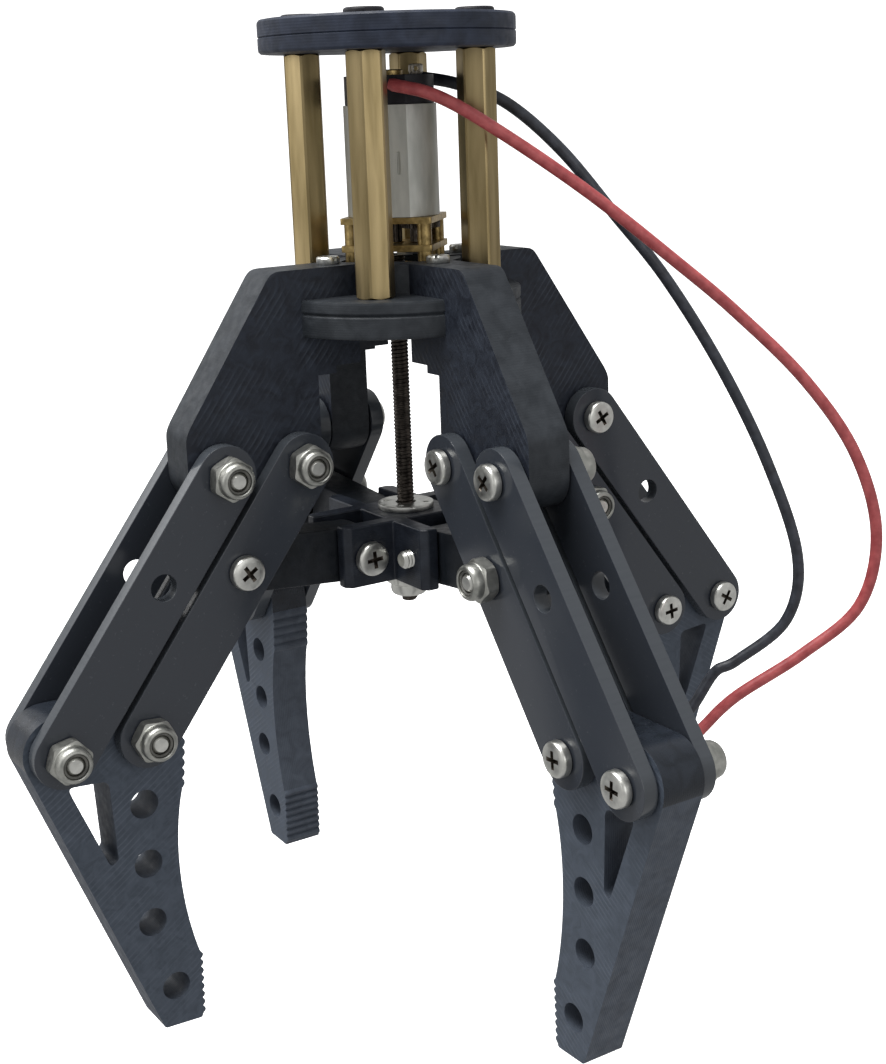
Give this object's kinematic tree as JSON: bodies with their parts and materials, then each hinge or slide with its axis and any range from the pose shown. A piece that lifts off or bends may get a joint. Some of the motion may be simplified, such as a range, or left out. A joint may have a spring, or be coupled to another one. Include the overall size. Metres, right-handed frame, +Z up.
{
  "type": "four-claw gripper",
  "caption": "Motorised gripper: a lead screw lifts a cross-shaped spider that folds parallel-link claws in towards the axis under a round mounting plate.",
  "frame": {"origin": "centre of the top plate's upper face", "axes": "+Z up along the lead screw and out of the mounting face; +X and +Y each run out through the middle plane of one claw"},
  "size_m": [0.1146, 0.1146, 0.1275],
  "materials": {
    "printed_black": "3-D printed, fine layer lines",
    "printed_slate": "3-D printed, slightly blue",
    "black_acrylic": "laser-cut sheet, mirror gloss",
    "brass": "worn",
    "plated_steel": "bright zinc or nickel plating",
    "motor_can": "satin nickel",
    "screw_steel": "dark, oiled thread",
    "red_insulation": "satin sleeve",
    "black_insulation": "satin sleeve"
  },
  "bodies": {
    "base": {"top_plate": "printed_black", "standoff_1": "brass", "standoff_2": "brass", "standoff_3": "brass", "standoff_4": "brass", "frame": "printed_black", "motor": "motor_can", "gearbox": "brass", "red_wire": "red_insulation", "black_wire": "black_insulation", "right_bolt_frame_outer": "plated_steel", "right_bolt_frame_inner": "plated_steel", "back_bolt_frame_outer": "plated_steel", "back_bolt_frame_inner": "plated_steel", "left_bolt_frame_outer": "plated_steel", "left_bolt_frame_inner": "plated_steel", "front_bolt_frame_outer": "plated_steel", "front_bolt_frame_inner": "plated_steel"},
    "lead_screw": {"lead_screw": "screw_steel"},
    "spider": {"spider": "printed_black", "right_bolt_spider": "plated_steel", "back_bolt_spider": "plated_steel", "left_bolt_spider": "plated_steel", "front_bolt_spider": "plated_steel"},
    "right_outer_link": {"right_outer_link_a": "black_acrylic", "right_outer_link_b": "black_acrylic"},
    "right_inner_link": {"right_inner_link_a": "black_acrylic", "right_inner_link_b": "black_acrylic", "right_bolt_drive": "plated_steel"},
    "right_claw": {"right_claw": "printed_slate", "right_bolt_claw_outer": "plated_steel", "right_bolt_claw_inner": "plated_steel"},
    "right_drive_link": {"right_drive_link": "printed_black"},
    "back_outer_link": {"back_outer_link_a": "black_acrylic", "back_outer_link_b": "black_acrylic"},
    "back_inner_link": {"back_inner_link_a": "black_acrylic", "back_inner_link_b": "black_acrylic", "back_bolt_drive": "plated_steel"},
    "back_claw": {"back_claw": "printed_slate", "back_bolt_claw_outer": "plated_steel", "back_bolt_claw_inner": "plated_steel"},
    "back_drive_link": {"back_drive_link": "printed_black"},
    "left_outer_link": {"left_outer_link_a": "black_acrylic", "left_outer_link_b": "black_acrylic"},
    "left_inner_link": {"left_inner_link_a": "black_acrylic", "left_inner_link_b": "black_acrylic", "left_bolt_drive": "plated_steel"},
    "left_claw": {"left_claw": "printed_slate", "left_bolt_claw_outer": "plated_steel", "left_bolt_claw_inner": "plated_steel"},
    "left_drive_link": {"left_drive_link": "printed_black"},
    "front_outer_link": {"front_outer_link_a": "black_acrylic", "front_outer_link_b": "black_acrylic"},
    "front_inner_link": {"front_inner_link_a": "black_acrylic", "front_inner_link_b": "black_acrylic", "front_bolt_drive": "plated_steel"},
    "front_claw": {"front_claw": "printed_slate", "front_bolt_claw_outer": "plated_steel", "front_bolt_claw_inner": "plated_steel"},
    "front_drive_link": {"front_drive_link": "printed_black"}
  },
  "joints": [
    {"name": "spider_slide", "type": "slide", "parent": "base", "child": "spider", "axis": [0, 0, 1], "range_m": [0, 0.01577]},
    {"name": "screw_spin", "type": "hinge", "parent": "base", "child": "lead_screw", "pos_m": [0, 0, -0.03], "axis": [0, 0, 1], "range_deg": [0, 11355]},
    {"name": "right_outer_link_turn", "type": "hinge", "parent": "base", "child": "right_outer_link", "pos_m": [0.0288, 0, -0.0546], "axis": [0, 1, 0], "range_deg": [0, 48.7]},
    {"name": "right_inner_link_turn", "type": "hinge", "parent": "base", "child": "right_inner_link", "pos_m": [0.0178, 0, -0.0546], "axis": [0, 1, 0], "range_deg": [0, 48.7]},
    {"name": "right_claw_turn", "type": "hinge", "parent": "right_outer_link", "child": "right_claw", "pos_m": [0.05266, 0, -0.0857], "axis": [0, 1, 0], "range_deg": [-48.7, 0]},
    {"name": "right_drive_link_turn", "type": "hinge", "parent": "spider", "child": "right_drive_link", "pos_m": [0.0092, 0, -0.0684], "axis": [0, 1, 0], "range_deg": [0, 76.65]},
    {"name": "back_outer_link_turn", "type": "hinge", "parent": "base", "child": "back_outer_link", "pos_m": [0, 0.0288, -0.0546], "axis": [-1, 0, 0], "range_deg": [0, 48.7]},
    {"name": "back_inner_link_turn", "type": "hinge", "parent": "base", "child": "back_inner_link", "pos_m": [0, 0.0178, -0.0546], "axis": [-1, 0, 0], "range_deg": [0, 48.7]},
    {"name": "back_claw_turn", "type": "hinge", "parent": "back_outer_link", "child": "back_claw", "pos_m": [0, 0.05266, -0.0857], "axis": [-1, 0, 0], "range_deg": [-48.7, 0]},
    {"name": "back_drive_link_turn", "type": "hinge", "parent": "spider", "child": "back_drive_link", "pos_m": [0, 0.0092, -0.0684], "axis": [-1, 0, 0], "range_deg": [0, 76.65]},
    {"name": "left_outer_link_turn", "type": "hinge", "parent": "base", "child": "left_outer_link", "pos_m": [-0.0288, 0, -0.0546], "axis": [0, -1, 0], "range_deg": [0, 48.7]},
    {"name": "left_inner_link_turn", "type": "hinge", "parent": "base", "child": "left_inner_link", "pos_m": [-0.0178, 0, -0.0546], "axis": [0, -1, 0], "range_deg": [0, 48.7]},
    {"name": "left_claw_turn", "type": "hinge", "parent": "left_outer_link", "child": "left_claw", "pos_m": [-0.05266, 0, -0.0857], "axis": [0, -1, 0], "range_deg": [-48.7, 0]},
    {"name": "left_drive_link_turn", "type": "hinge", "parent": "spider", "child": "left_drive_link", "pos_m": [-0.0092, 0, -0.0684], "axis": [0, -1, 0], "range_deg": [0, 76.65]},
    {"name": "front_outer_link_turn", "type": "hinge", "parent": "base", "child": "front_outer_link", "pos_m": [0, -0.0288, -0.0546], "axis": [1, 0, 0], "range_deg": [0, 48.7]},
    {"name": "front_inner_link_turn", "type": "hinge", "parent": "base", "child": "front_inner_link", "pos_m": [0, -0.0178, -0.0546], "axis": [1, 0, 0], "range_deg": [0, 48.7]},
    {"name": "front_claw_turn", "type": "hinge", "parent": "front_outer_link", "child": "front_claw", "pos_m": [0, -0.05266, -0.0857], "axis": [1, 0, 0], "range_deg": [-48.7, 0]},
    {"name": "front_drive_link_turn", "type": "hinge", "parent": "spider", "child": "front_drive_link", "pos_m": [0, -0.0092, -0.0684], "axis": [1, 0, 0], "range_deg": [0, 76.65]}
  ],
  "couplings": [
    {"joint": "screw_spin", "follows": "spider_slide", "rad_per_m": 12566},
    {"joint": "right_outer_link_turn", "follows": "spider_slide", "rad_per_m": 53.87},
    {"joint": "right_inner_link_turn", "follows": "spider_slide", "rad_per_m": 53.87},
    {"joint": "right_claw_turn", "follows": "spider_slide", "rad_per_m": -53.87},
    {"joint": "right_drive_link_turn", "follows": "spider_slide", "rad_per_m": 84.79},
    {"joint": "back_outer_link_turn", "follows": "spider_slide", "rad_per_m": 53.87},
    {"joint": "back_inner_link_turn", "follows": "spider_slide", "rad_per_m": 53.87},
    {"joint": "back_claw_turn", "follows": "spider_slide", "rad_per_m": -53.87},
    {"joint": "back_drive_link_turn", "follows": "spider_slide", "rad_per_m": 84.79},
    {"joint": "left_outer_link_turn", "follows": "spider_slide", "rad_per_m": 53.87},
    {"joint": "left_inner_link_turn", "follows": "spider_slide", "rad_per_m": 53.87},
    {"joint": "left_claw_turn", "follows": "spider_slide", "rad_per_m": -53.87},
    {"joint": "left_drive_link_turn", "follows": "spider_slide", "rad_per_m": 84.79},
    {"joint": "front_outer_link_turn", "follows": "spider_slide", "rad_per_m": 53.87},
    {"joint": "front_inner_link_turn", "follows": "spider_slide", "rad_per_m": 53.87},
    {"joint": "front_claw_turn", "follows": "spider_slide", "rad_per_m": -53.87},
    {"joint": "front_drive_link_turn", "follows": "spider_slide", "rad_per_m": 84.79}
  ]
}
